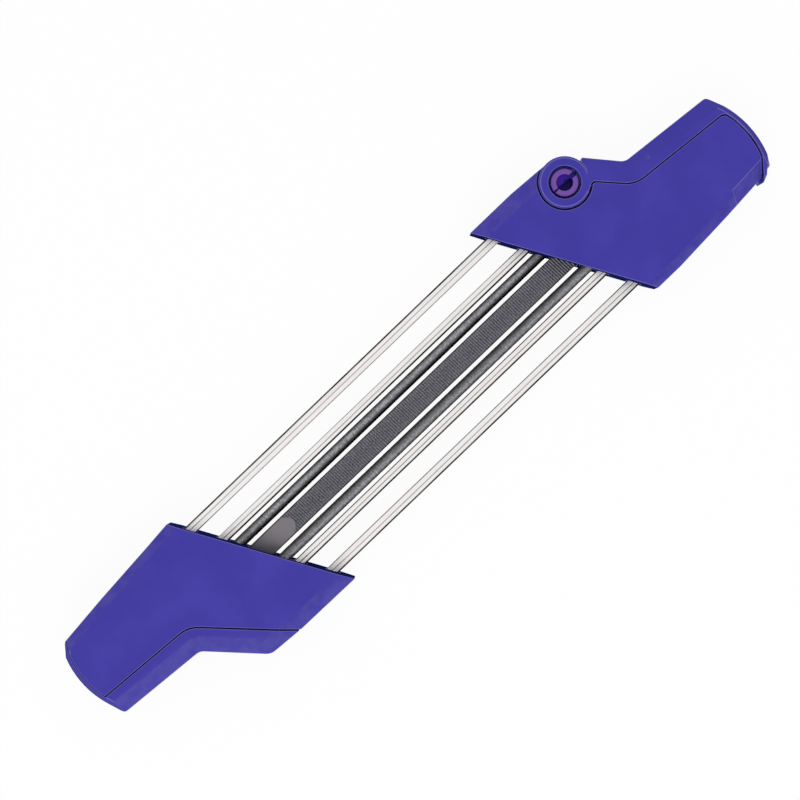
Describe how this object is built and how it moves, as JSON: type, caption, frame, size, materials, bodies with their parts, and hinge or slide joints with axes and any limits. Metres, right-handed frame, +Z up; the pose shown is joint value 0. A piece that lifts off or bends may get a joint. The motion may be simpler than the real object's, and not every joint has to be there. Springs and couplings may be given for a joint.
{
  "type": "manual chainsaw sharpener",
  "caption": "Hand-held chainsaw sharpener: two slanted moulded handles on parallel steel bars, with round and flat files between them and a hinged cover that frees the files.",
  "frame": {"origin": "centre of the bounding box on the surface that the tool lies on, at rest with the cover shut", "axes": "+X along the rails towards the handle with the hinged cover, +Y across the tool towards the hinge, +Z up, square to the broad faces"},
  "size_m": [0.3598, 0.0704, 0.02],
  "materials": {
    "blue_plastic": "fine-grained moulded glass-filled nylon, deep violet blue",
    "black_plastic": "moulded black nylon",
    "pin_plastic": "smooth dark moulded pin with a violet sheen",
    "bright_steel": "drawn bright steel bar",
    "file_steel": "dark hardened file steel with fine cut teeth"
  },
  "bodies": {
    "frame": {"fixed_handle_body": "blue_plastic", "fixed_handle_cover": "blue_plastic", "fixed_file_seat": "black_plastic", "outer_rail_upper": "bright_steel", "outer_rail_lower": "bright_steel", "guide_bar_upper": "bright_steel", "guide_bar_lower": "bright_steel", "flat_file": "file_steel", "release_handle_body": "blue_plastic", "hinge_pin": "pin_plastic"},
    "cover": {"release_cover": "blue_plastic"},
    "clamp": {"file_clamp": "black_plastic"},
    "round_file_a": {"round_file_upper": "file_steel"},
    "round_file_b": {"round_file_lower": "file_steel"}
  },
  "joints": [
    {"name": "cover_hinge", "type": "hinge", "parent": "frame", "child": "cover", "pos_m": [0.10825, 0.0232, 0.01], "axis": [0, 0, 1], "range_deg": [0, 70]},
    {"name": "clamp_slide", "type": "slide", "parent": "frame", "child": "clamp", "axis": [1, 0, 0], "range_m": [0, 0.0035]},
    {"name": "round_file_upper_turn", "type": "hinge", "parent": "frame", "child": "round_file_a", "pos_m": [-0.0013, 0.0086, 0.00516], "axis": [1, 0, 0], "continuous": true},
    {"name": "round_file_lower_turn", "type": "hinge", "parent": "frame", "child": "round_file_b", "pos_m": [-0.0013, -0.0086, 0.01484], "axis": [1, 0, 0], "continuous": true}
  ],
  "couplings": [
    {"joint": "clamp_slide", "follows": "cover_hinge", "m_per_rad": 0.0028648}
  ]
}
